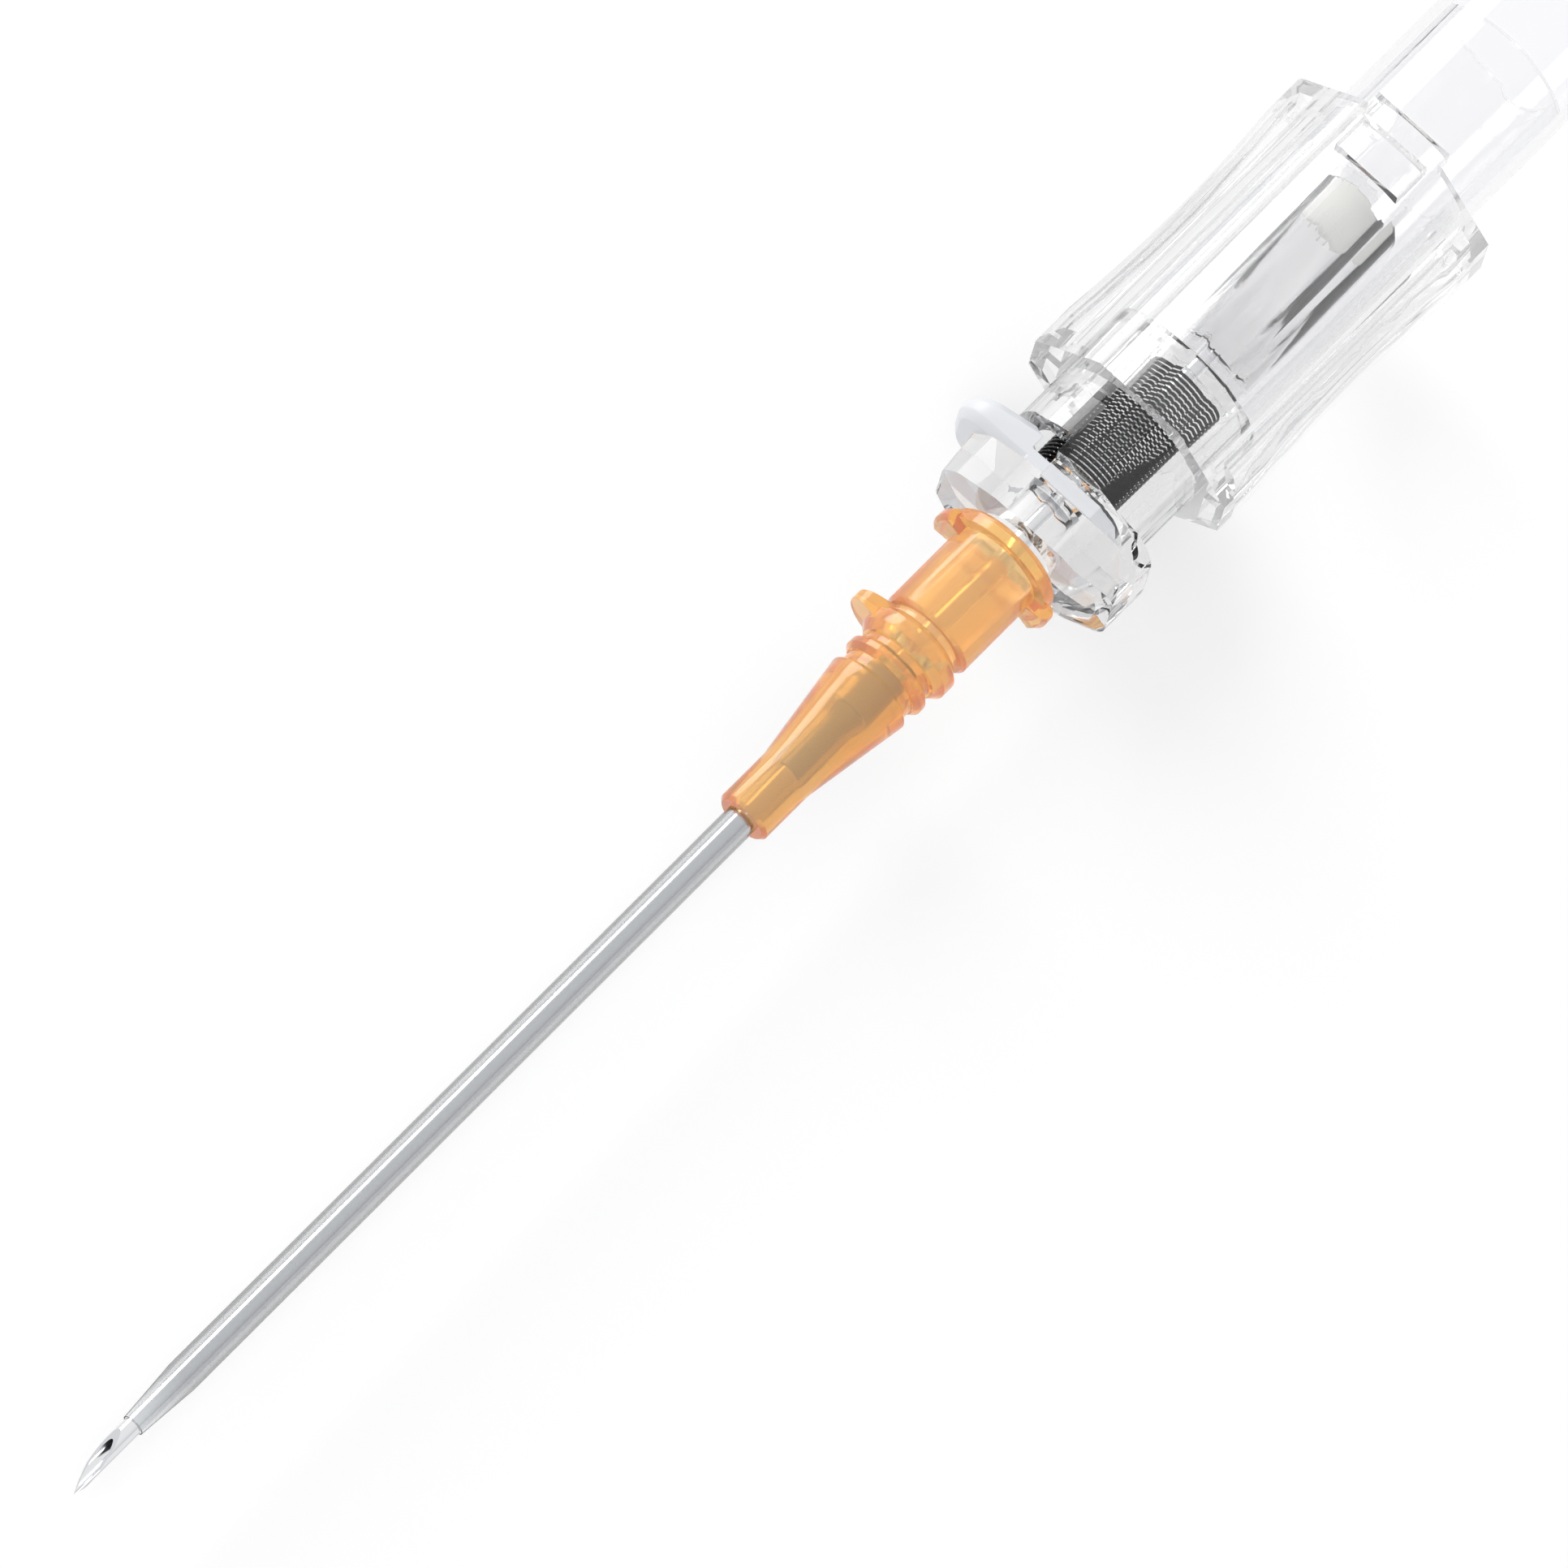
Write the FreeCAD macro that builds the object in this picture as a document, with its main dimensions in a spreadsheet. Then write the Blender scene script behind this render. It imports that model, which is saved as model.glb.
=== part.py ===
"""Spring-retracting safety IV cannula with a push button, in millimetres.

The needle axis is X, with the needle tip towards -X. The origin is the centre of the catheter
hub's luer mouth. The finger wings lie in the XY plane, the button stands on +Y, and +Z is up.
"""
import FreeCAD, Part
import math
import os
import re

import Sketcher
from FreeCAD import Placement, Rotation, Vector

SIZES = {
    # Needle: a hollow steel tube with a ground bevel.
    "needle_diameter": 1.04,
    "needle_bore": 0.72,
    "needle_overhang": 4.75,
    "bevel_length": 4.0,
    "bevel_roll": 55,
    "lancet_steepness": 1.45,
    "lancet_roll": 38,
    # Catheter: a clear tube that tapers at its tip and flares over a metal wedge.
    "catheter_reach": 45.72,
    "catheter_diameter": 1.8,
    "catheter_gap": 0.04,
    "catheter_taper_length": 3.6,
    "catheter_lip": 0.07,
    "squeeze_run": 0.6,
    "flare_run": 0.5,
    "wedge_wall": 0.1,
    "wedge_nose_length": 3.3,
    "wedge_cone_length": 1.2,
    "wedge_cone_rise": 0.22,
    "wedge_skirt_length": 2.9,
    "wedge_depth": 9.2,
    "seat_gap": 0.02,
    # Catheter hub: an orange moulding with a luer socket.
    "hub_length": 20.05,
    "hub_nose_diameter": 3.1,
    "hub_nose_length": 3.35,
    "hub_cone_length": 6.4,
    "hub_cone_diameter": 4.95,
    "hub_groove_diameter": 4.3,
    "hub_front_groove": 0.7,
    "hub_rear_groove": 0.45,
    "hub_rib_diameter": 5.05,
    "hub_rib_width": 0.91,
    "hub_rib_chamfer": 0.28,
    "tab_ring_chamfer": 0.42,
    "hub_chamfer": 0.2,
    "tab_ring_diameter": 5.55,
    "tab_ring_width": 1.58,
    "tab_height": 3.98,
    "tab_width": 2.5,
    "tab_root": 1.3,
    "tab_crest": 0.55,
    "tab_bury": 0.8,
    "tab_setback": 0.42,
    "tab_rounding": 1.1,
    "hub_body_diameter": 5.28,
    "hub_flange_diameter": 6.7,
    "hub_flange_thickness": 0.85,
    "lug_diameter": 7.75,
    "lug_lead": 0.6,
    "lug_thickness": 0.88,
    "lug_angle": 38,
    "lug_roll": 15,
    "lug_chamfer": 0.25,
    "luer_mouth_diameter": 4.28,
    "luer_depth": 8.0,
    "luer_taper": 0.06,
    # Needle hub: the carriage with its luer nose, catch groove, spring shoulder and flash chamber.
    "luer_gap": 0.06,
    "nose_reach": 7.0,
    "catch_groove_lead": 0.3,
    "catch_groove_width": 1.6,
    "catch_groove_diameter": 3.1,
    "sleeve_diameter": 3.9,
    "shoulder_diameter": 5.8,
    "shoulder_thickness": 0.9,
    "chamber_diameter": 5.2,
    "chamber_wall": 0.6,
    "chamber_length": 12.6,
    "chamber_floor": 1.0,
    "chamber_chamfer": 0.35,
    "vent_plug_length": 3.0,
    "vent_plug_chamfer": 0.3,
    # Retraction spring, square in section, between the ledge and the shoulder.
    "spring_wire": 0.36,
    "spring_diameter": 5.2,
    "spring_turns": 6,
    "spring_length": 8.1,
    # Nose housing: the block round the button, the neck and the spigot behind it.
    "block_start": 0.6,
    "block_tail": 0.1,
    "block_crown": 5.65,
    "block_crown_half_width": 0.9,
    "block_crown_drop": 0.5,
    "block_brow": 4.35,
    "block_brow_half_width": 2.6,
    "block_half_width": 3.45,
    "block_cheek_rise": 1.9,
    "block_cheek_fall": 2.6,
    "block_keel": 5.95,
    "block_keel_half_width": 2.3,
    "block_front_chamfer": 0.5,
    "block_front_chamfer_rise": 2.4,
    "block_rear_chamfer": 0.45,
    "block_rear_chamfer_rise": 1.2,
    "block_rounding": 1.0,
    "front_wall": 2.7,
    "slot_wall": 0.25,
    "nose_hole_gap": 0.2,
    "ledge_gap": 0.15,
    "neck_step": 0.05,
    "neck_length": 8.6,
    "housing_bore": 6.6,
    "spigot_wall": 0.6,
    "spigot_length": 24.3,
    "notch_gap": 0.2,
    # Release button: a thumb pad on a plate with an oblong window.
    "button_travel": 1.2,
    "button_gap": 0.1,
    "plate_thickness": 0.9,
    "plate_foot": 3.0,
    "plate_rounding": 0.8,
    "window_gap": 0.13,
    "thumb_radius": 2.6,
    "thumb_height": 6.85,
    "thumb_skirt": 2.45,
    "thumb_top_thickness": 1.45,
    "thumb_thickness": 2.2,
    "thumb_crown_rounding": 1.8,
    "thumb_rim": 0.45,
    # Finger grip: a winged sleeve over the neck and the barrel.
    "grip_start": 9.1,
    "grip_length": 20.1,
    "grip_half_width": 6.45,
    "grip_dip": 0.4,
    "grip_front_land": 2.6,
    "grip_rear_land": 2.7,
    "grip_half_height": 5.25,
    "grip_flat_half_width": 2.7,
    "wing_edge": 1.55,
    "panel_web": 0.9,
    "panel_rim": 0.65,
    "panel_front_rim": 1.3,
    "panel_rear_rim": 0.85,
    "panel_inner": 4.95,
    "strap_overhang": 0.85,
    "strap_width": 1.35,
    "strap_half_width": 2.4,
    "window_half_width": 2.1,
    "window_length": 2.3,
    "snap_gap": 0.12,
    "snap_rise": 0.45,
    # Barrel: the clear tube that takes the needle in.
    "barrel_wall": 0.58,
    "barrel_end_wall": 1.3,
    "barrel_chamfer": 0.8,
    "retract_travel": 75.0,
    "retract_reserve": 0.6,
}

# Stations along the axis, as formulas in the sheet's sizes.
LUMEN = "(needle_diameter / 2 + catheter_gap)"
WEDGE_REAR = "(-wedge_depth)"
WEDGE_SKIRT = f"({WEDGE_REAR} - wedge_skirt_length)"
WEDGE_CONE = f"({WEDGE_SKIRT} - wedge_cone_length)"
WEDGE_NOSE = f"({WEDGE_CONE} - wedge_nose_length)"
FLARE = f"({WEDGE_NOSE} - flare_run)"
NEEDLE_TIP = "(-hub_length - catheter_reach - needle_overhang)"
NOSE_RADIUS = "(luer_mouth_diameter / 2 - luer_gap)"
SLOT_START = "(block_start + front_wall)"
PLATE_START = f"({SLOT_START} + button_gap)"
SLOT_END = f"({PLATE_START} + plate_thickness + button_gap)"
SPRING_SEAT = f"({SLOT_END} + slot_wall)"
SHOULDER = f"({SPRING_SEAT} + spring_length)"
CHAMBER = f"({SHOULDER} + shoulder_thickness)"
CHAMBER_END = f"({CHAMBER} + chamber_length)"
BLOCK_END = f"({SLOT_END} + block_tail)"
NECK_END = f"({BLOCK_END} + neck_length)"
SPIGOT_RADIUS = "(housing_bore / 2 + spigot_wall)"
BARREL_RADIUS = f"({SPIGOT_RADIUS} + seat_gap + barrel_wall)"
NECK_RADIUS = f"({BARREL_RADIUS} + neck_step)"
BARREL_END = f"({CHAMBER_END} + retract_travel + retract_reserve + barrel_end_wall)"
GRIP_END = "(grip_start + grip_length)"
STRAP_END = f"({GRIP_END} + strap_overhang)"
WINDOW_END = f"({STRAP_END} - strap_width)"
NEAR = 1e-4

doc = FreeCAD.newDocument("IvCannula")
sheet = doc.addObject("Spreadsheet::Sheet", "Sizes")
for row, (alias, value) in enumerate(SIZES.items(), start=1):
    sheet.set(f"A{row}", alias)
    sheet.set(f"B{row}", str(value))
    sheet.setAlias(f"B{row}", alias)
doc.recompute()


def bound(formula):
    """Turn a formula in plain size names into one that reads the sheet."""
    return re.sub(r"[a-z][a-z_]+", lambda word: "Sizes." + word.group(), formula)


def worked_out(formula):
    """Return what a formula in plain size names comes to."""
    numbers = re.sub(r"[a-z][a-z_]+", lambda word: repr(float(sheet.get(word.group()))), formula)
    return FreeCAD.Units.Quantity(numbers).Value


def drawn(body, name, plane, corners, offset="0"):
    """Draw a closed outline of straight lines, each corner bound to the sheet."""
    sketch = body.newObject("Sketcher::SketchObject", name)
    base = next(feature for feature in body.Origin.OriginFeatures if feature.Role == plane)
    sketch.AttachmentSupport = (base, [""])
    sketch.MapMode = "FlatFace"
    sketch.setExpression("AttachmentOffset.Base.z", bound(offset))
    places = [Vector(worked_out(across), worked_out(up), 0) for across, up in corners]
    count = len(places)
    for index, place in enumerate(places):
        sketch.addGeometry(Part.LineSegment(place, places[(index + 1) % count]))
    for index in range(count):
        sketch.addConstraint(Sketcher.Constraint("Coincident", index, 2, (index + 1) % count, 1))
    for index, (across, up) in enumerate(corners):
        for kind, formula, value in (("DistanceX", across, places[index].x),
                                     ("DistanceY", up, places[index].y)):
            rule = sketch.addConstraint(Sketcher.Constraint(kind, -1, 1, index, 1, value))
            sketch.setExpression(f"Constraints[{rule}]", bound(formula))
    sketch.Visibility = False
    return sketch


def turn(body, name, corners, angle="360", roll="0"):
    """Turn an outline of (along the axis, radius) corners round the needle axis."""
    sketch = drawn(body, name + "_outline", "XY_Plane", corners)
    sketch.AttachmentOffset = Placement(Vector(), Rotation(Vector(1, 0, 0), worked_out(roll)))
    feature = body.newObject("PartDesign::Revolution", name)
    feature.Profile = sketch
    feature.ReferenceAxis = (sketch, ["H_Axis"])
    feature.Midplane = angle != "360"
    feature.setExpression("Angle", bound(angle))
    doc.recompute()
    return feature


def pad(body, name, plane, corners, length, offset="0", midplane=False):
    """Pad an outline drawn on one of the body's planes."""
    sketch = drawn(body, name + "_outline", plane, corners, offset)
    feature = body.newObject("PartDesign::Pad", name)
    feature.Profile = sketch
    feature.Midplane = midplane
    feature.setExpression("Length", bound(length))
    doc.recompute()
    return feature


def turned(name, corners):
    """Make a body of one turned outline."""
    body = doc.addObject("PartDesign::Body", name)
    turn(body, name + "_turn", corners)
    return body


def rim(body, along, radius):
    """Name the circular edges of a body that have this place and radius."""
    at = worked_out(along)
    size = worked_out(radius)
    names = []
    for number, edge in enumerate(body.Shape.Edges, start=1):
        curve = edge.Curve
        if curve.TypeId == "Part::GeomCircle" and abs(curve.Radius - size) < NEAR:
            if abs(curve.Center.x - at) < NEAR and abs(curve.Axis.x) > 1 - NEAR:
                names.append(f"Edge{number}")
    return names


def chamfered(body, name, size, rims):
    """Chamfer the rims of a body, each given as (place along the axis, radius)."""
    edges = [edge for along, radius in rims for edge in rim(body, along, radius)]
    feature = body.newObject("PartDesign::Chamfer", name)
    feature.Base = (feature.BaseFeature, edges)
    feature.setExpression("Size", bound(size))
    doc.recompute()
    return feature


def box(name, low, size):
    """Make a box from its low corner and its size, both as formulas."""
    shape = doc.addObject("Part::Box", name)
    for axis, place in zip("xyz", low):
        shape.setExpression(f"Placement.Base.{axis}", bound(place))
    for side, length in zip(("Length", "Width", "Height"), size):
        shape.setExpression(side, bound(length))
    return shape


def rod(name, start, length, radius, across="0"):
    """Make a cylinder along the needle axis, or beside it towards +Y."""
    shape = doc.addObject("Part::Cylinder", name)
    shape.Placement = Placement(Vector(), Rotation(Vector(0, 1, 0), 90))
    shape.setExpression("Placement.Base.x", bound(start))
    shape.setExpression("Placement.Base.y", bound(across))
    shape.setExpression("Height", bound(length))
    shape.setExpression("Radius", bound(radius))
    return shape


def fused(name, shapes):
    """Fuse shapes into one."""
    shape = doc.addObject("Part::MultiFuse", name)
    shape.Shapes = shapes
    shape.Refine = True
    doc.recompute()
    return shape


def paired(kind, name, base, tool):
    """Cut one shape by another, or keep what they share."""
    shape = doc.addObject(kind, name)
    shape.Base = base
    shape.Tool = tool
    shape.Refine = True
    doc.recompute()
    return shape


def softened(kind, name, base, size, wanted):
    """Fillet or chamfer the edges of a shape whose middle points are wanted."""
    doc.recompute()
    shape = doc.addObject(kind, name)
    shape.Base = base
    radius = worked_out(size)
    edges = []
    for number, edge in enumerate(base.Shape.Edges, start=1):
        middle = edge.valueAt((edge.FirstParameter + edge.LastParameter) / 2)
        if wanted(middle):
            edges.append((number, radius, radius))
    shape.Edges = edges
    doc.recompute()
    return shape


def make_catheter_tube():
    """Clear tube: fine at its tip, squeezed by the hub, and flared at its rear over the wedge."""
    wall_out = "catheter_diameter / 2"
    squeezed = f"{wall_out} - seat_gap"
    over_nose = "wedge_wall + seat_gap"
    over_cone = "wedge_wall + wedge_cone_rise + seat_gap"
    tip = "-hub_length - catheter_reach"
    return turned("catheter_tube", [
        (tip, LUMEN),
        (tip, f"{LUMEN} + catheter_lip"),
        (f"{tip} + catheter_taper_length", wall_out),
        ("-hub_length - squeeze_run", wall_out),
        ("-hub_length", squeezed),
        (FLARE, squeezed),
        (WEDGE_NOSE, f"{squeezed} + {over_nose}"),
        (WEDGE_CONE, f"{squeezed} + {over_nose}"),
        (WEDGE_SKIRT, f"{squeezed} + {over_cone}"),
        (WEDGE_SKIRT, f"{LUMEN} + {over_cone}"),
        (WEDGE_CONE, f"{LUMEN} + {over_nose}"),
        (WEDGE_NOSE, f"{LUMEN} + {over_nose}"),
        (FLARE, LUMEN),
    ])


def make_catheter_wedge():
    """Metal funnel: a nose inside the tube, a cone, and a skirt flush with the flare."""
    nose_out = f"{LUMEN} + wedge_wall"
    skirt_out = "catheter_diameter / 2 + wedge_wall + wedge_cone_rise"
    skirt_face = f"{WEDGE_SKIRT} + seat_gap"
    return turned("catheter_wedge", [
        (WEDGE_NOSE, LUMEN),
        (WEDGE_NOSE, nose_out),
        (WEDGE_CONE, nose_out),
        (skirt_face, f"{nose_out} + wedge_cone_rise"),
        (skirt_face, skirt_out),
        (WEDGE_REAR, skirt_out),
        (WEDGE_REAR, f"{skirt_out} - wedge_wall"),
        (f"{skirt_face} + wedge_wall", f"{skirt_out} - wedge_wall"),
        (f"{skirt_face} + wedge_wall", f"{LUMEN} + wedge_cone_rise"),
        (f"{WEDGE_CONE} + wedge_wall", LUMEN),
    ])


def make_catheter_hub():
    """Orange hub: nose, cone, ribs, push-off tab, luer socket and two luer lock lugs."""
    nose_end = "(-hub_length + hub_nose_length)"
    cone_end = f"({nose_end} + hub_cone_length)"
    first_groove = f"({cone_end} + hub_front_groove)"
    rib_end = f"({first_groove} + hub_rib_width)"
    second_groove = f"({rib_end} + hub_rear_groove)"
    ring_end = f"({second_groove} + tab_ring_width)"
    third_groove = f"({ring_end} + hub_rear_groove)"
    nose = "hub_nose_diameter / 2"
    cone = "hub_cone_diameter / 2"
    groove = "hub_groove_diameter / 2"
    rib = "hub_rib_diameter / 2"
    ring = "tab_ring_diameter / 2"
    trunk = "hub_body_diameter / 2"
    flange = "hub_flange_diameter / 2"
    mouth = "luer_mouth_diameter / 2"
    tube_seat = "catheter_diameter / 2"
    nose_seat = f"{tube_seat} + wedge_wall + seat_gap"
    skirt_seat = f"{nose_seat} + wedge_cone_rise"
    body = turned("catheter_hub", [
        ("-hub_length", nose), (nose_end, nose), (cone_end, cone), (cone_end, groove),
        (first_groove, groove), (first_groove, rib), (rib_end, rib), (rib_end, groove),
        (second_groove, groove), (second_groove, ring), (ring_end, ring), (ring_end, groove),
        (third_groove, groove), (third_groove, trunk), ("-hub_flange_thickness", trunk),
        ("-hub_flange_thickness", flange), ("0", flange), ("0", mouth),
        ("-luer_depth", f"{mouth} - luer_depth * luer_taper / 2"), ("-luer_depth", skirt_seat),
        (WEDGE_SKIRT, skirt_seat), (WEDGE_CONE, nose_seat), (WEDGE_NOSE, nose_seat),
        (FLARE, tube_seat), ("-hub_length", tube_seat),
    ])
    chamfered(body, "rib_chamfers", "hub_rib_chamfer",
              [(first_groove, rib), (rib_end, rib)])
    chamfered(body, "ring_chamfers", "tab_ring_chamfer", [(second_groove, ring), (ring_end, ring)])
    chamfered(body, "rim_chamfers", "hub_chamfer",
              [("-hub_length", nose), (cone_end, cone), (third_groove, trunk), ("0", flange)])
    middle = f"({ring_end} - tab_setback)"
    root = f"{ring} - tab_bury"
    pad(body, "push_tab", "XY_Plane", [
        (f"{middle} - tab_root / 2", root), (f"{middle} + tab_root / 2", root),
        (f"{middle} + tab_crest / 2", "tab_height"), (f"{middle} - tab_crest / 2", "tab_height"),
    ], "tab_width", midplane=True)
    lug_start = "(-hub_flange_thickness - lug_lead)"
    for side, sign in (("upper", ""), ("lower", "-")):
        inner = f"{sign}({trunk} - tab_bury / 2)"
        outer = f"{sign}(lug_diameter / 2)"
        turn(body, f"{side}_lug", [
            (lug_start, inner), (lug_start, outer),
            (f"{lug_start} + lug_thickness", outer), (f"{lug_start} + lug_thickness", inner),
        ], "lug_angle", "lug_roll")
    chamfered(body, "lug_chamfers", "lug_chamfer", [
        (lug_start, "lug_diameter / 2"), (f"{lug_start} + lug_thickness", "lug_diameter / 2"),
    ])
    crest = worked_out("tab_height")
    edges = [f"Edge{number}" for number, edge in enumerate(body.Shape.Edges, start=1)
             if abs(edge.CenterOfMass.y - crest) < NEAR and abs(edge.CenterOfMass.z) > NEAR]
    corners = body.newObject("PartDesign::Fillet", "soft_tab")
    corners.Base = (corners.BaseFeature, edges)
    corners.setExpression("Radius", bound("tab_rounding"))
    doc.recompute()
    return body


def make_needle():
    """Hollow needle with a ground bevel and two lancet facets."""
    length = f"{CHAMBER} + chamber_floor - {NEEDLE_TIP}"
    radius = worked_out("needle_diameter / 2")
    tube = paired("Part::Cut", "needle_tube",
                  rod("needle_rod", NEEDLE_TIP, length, "needle_diameter / 2"),
                  rod("needle_lumen", NEEDLE_TIP, length, "needle_bore / 2"))
    slope = math.degrees(math.atan2(2 * radius, worked_out("bevel_length")))
    tip = Vector(worked_out(NEEDLE_TIP), -radius, 0)
    corner = Vector(-worked_out("bevel_length"), 0, -worked_out("needle_diameter * 4"))
    steepness = worked_out("lancet_steepness")
    side_roll = worked_out("lancet_roll")
    grinds = []
    for name, tilt, roll in (("bevel", slope, 0), ("near_lancet", slope * steepness, side_roll),
                             ("far_lancet", slope * steepness, -side_roll)):
        wheel = doc.addObject("Part::Box", f"{name}_wheel")
        for side, length in (("Length", "bevel_length * 4"), ("Width", "needle_diameter * 4"),
                             ("Height", "needle_diameter * 8")):
            wheel.setExpression(side, bound(length))
        turned_to = Rotation(Vector(1, 0, 0), roll).multiply(Rotation(Vector(0, 0, 1), tilt))
        wheel.Placement = Placement(tip + turned_to.multVec(corner), turned_to)
        grinds.append(wheel)
    needle = paired("Part::Cut", "needle", tube, fused("grinding", grinds))
    needle.Placement = Placement(Vector(), Rotation(Vector(1, 0, 0), worked_out("bevel_roll")))
    return needle


def make_needle_hub():
    """Clear carriage: luer nose, catch groove, spring sleeve, shoulder and flash chamber."""
    bore = "needle_diameter / 2 + seat_gap / 2"
    groove_start = f"({PLATE_START} - catch_groove_lead)"
    groove_end = f"({groove_start} + catch_groove_width)"
    groove = "catch_groove_diameter / 2"
    sleeve = "sleeve_diameter / 2"
    shoulder = "shoulder_diameter / 2"
    chamber = "chamber_diameter / 2"
    body = turned("needle_hub", [
        ("-nose_reach", bore), ("-nose_reach", f"{NOSE_RADIUS} - nose_reach * luer_taper / 2"),
        ("0", NOSE_RADIUS), (groove_start, NOSE_RADIUS), (groove_start, groove),
        (groove_end, groove), (groove_end, sleeve), (SHOULDER, sleeve), (SHOULDER, shoulder),
        (CHAMBER, shoulder), (CHAMBER, chamber), (CHAMBER_END, chamber),
        (CHAMBER_END, f"{chamber} - chamber_wall"),
        (f"{CHAMBER} + chamber_floor", f"{chamber} - chamber_wall"),
        (f"{CHAMBER} + chamber_floor", bore),
    ])
    chamfered(body, "nose_chamfer", "hub_chamfer",
              [("-nose_reach", f"{NOSE_RADIUS} - nose_reach * luer_taper / 2")])
    chamfered(body, "chamber_rim_chamfer", "chamber_chamfer", [(CHAMBER_END, chamber)])
    return body


def make_vent_plug():
    """Porous plug that closes the flash chamber."""
    radius = "chamber_diameter / 2 - chamber_wall - seat_gap"
    start = f"{CHAMBER_END} - vent_plug_length"
    body = turned("vent_plug", [(start, "0"), (start, radius), (CHAMBER_END, radius), (CHAMBER_END, "0")])
    chamfered(body, "plug_chamfers", "vent_plug_chamfer", [(start, radius), (CHAMBER_END, radius)])
    return body


def make_retraction_spring():
    """Compression spring between the housing's ledge and the carriage's shoulder."""
    helix = doc.addObject("Part::Helix", "spring_helix")
    helix.setExpression("Pitch", bound("(spring_length - spring_wire) / spring_turns"))
    helix.setExpression("Height", bound("spring_length - spring_wire"))
    helix.setExpression("Radius", bound("(spring_diameter - spring_wire) / 2"))
    section = doc.addObject("Part::RegularPolygon", "spring_section")
    section.Polygon = 4
    section.setExpression("Circumradius", bound("spring_wire / 2 * 1.4142"))
    section.Placement = Placement(Vector(), Rotation(0, 45, 90))
    section.setExpression("Placement.Base.x", bound("(spring_diameter - spring_wire) / 2"))
    doc.recompute()
    spring = doc.addObject("Part::Sweep", "retraction_spring")
    spring.Sections = [section]
    spring.Spine = (helix, [f"Edge{number + 1}" for number in range(len(helix.Shape.Edges))])
    spring.Solid = True
    spring.Frenet = True
    spring.Placement = Placement(Vector(), Rotation(Vector(0, 1, 0), 90))
    spring.setExpression("Placement.Base.x", bound(f"{SPRING_SEAT} + spring_wire / 2"))
    doc.recompute()
    return spring


def make_release_button():
    """White button: a half-round thumb pad with a saddle, on a plate with an oblong window."""
    window = f"{NOSE_RADIUS} + window_gap"
    plate_end = f"({PLATE_START} + plate_thickness)"
    thumb_end = f"({PLATE_START} + thumb_thickness)"
    thumb = doc.addObject("PartDesign::Body", "thumb")
    pad(thumb, "thumb_pad", "XY_Plane", [
        (PLATE_START, "thumb_skirt"), (thumb_end, "thumb_skirt"),
        (f"{PLATE_START} + thumb_top_thickness", "thumb_height"), (PLATE_START, "thumb_height"),
    ], "2 * thumb_radius", midplane=True)
    top = worked_out("thumb_height")
    flank = worked_out("thumb_radius")
    round_top = softened("Part::Fillet", "round_top", thumb, "thumb_crown_rounding", lambda middle: (
        abs(middle.y - top) < NEAR and abs(abs(middle.z) - flank) < NEAR))
    skirt = worked_out("thumb_skirt")
    front = worked_out(PLATE_START)
    lean = worked_out("(thumb_thickness - thumb_top_thickness) / (thumb_height - thumb_skirt)")

    def on_rim(middle):
        rear = worked_out(thumb_end) - lean * (middle.y - skirt)
        return middle.y > skirt + NEAR and min(abs(middle.x - front), abs(middle.x - rear)) < NEAR

    soft_thumb = softened("Part::Chamfer", "soft_thumb", round_top, "thumb_rim", on_rim)
    saddle = rod("saddle", plate_end, "thumb_thickness", "spring_diameter / 2 + 2 * ledge_gap",
                 "button_travel")
    plate = box("plate", (PLATE_START, "-plate_foot", "-thumb_radius"),
                ("plate_thickness", "plate_foot + thumb_skirt", "2 * thumb_radius"))
    foot = worked_out("-plate_foot")
    soft_plate = softened("Part::Chamfer", "soft_plate", plate, "plate_rounding", lambda middle: (
        abs(middle.y - foot) < NEAR and abs(middle.z) > NEAR))
    opening = fused("oblong_window", [
        rod("window_low", PLATE_START, "thumb_thickness", window),
        rod("window_high", PLATE_START, "thumb_thickness", window, "button_travel"),
        box("window_middle", (PLATE_START, "0", f"-({window})"),
            ("thumb_thickness", "button_travel", f"2 * ({window})")),
    ])
    saddled = paired("Part::Cut", "saddled_thumb", soft_thumb, saddle)
    whole = fused("pad_and_plate", [saddled, soft_plate])
    return paired("Part::Cut", "release_button", whole, opening)


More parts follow.
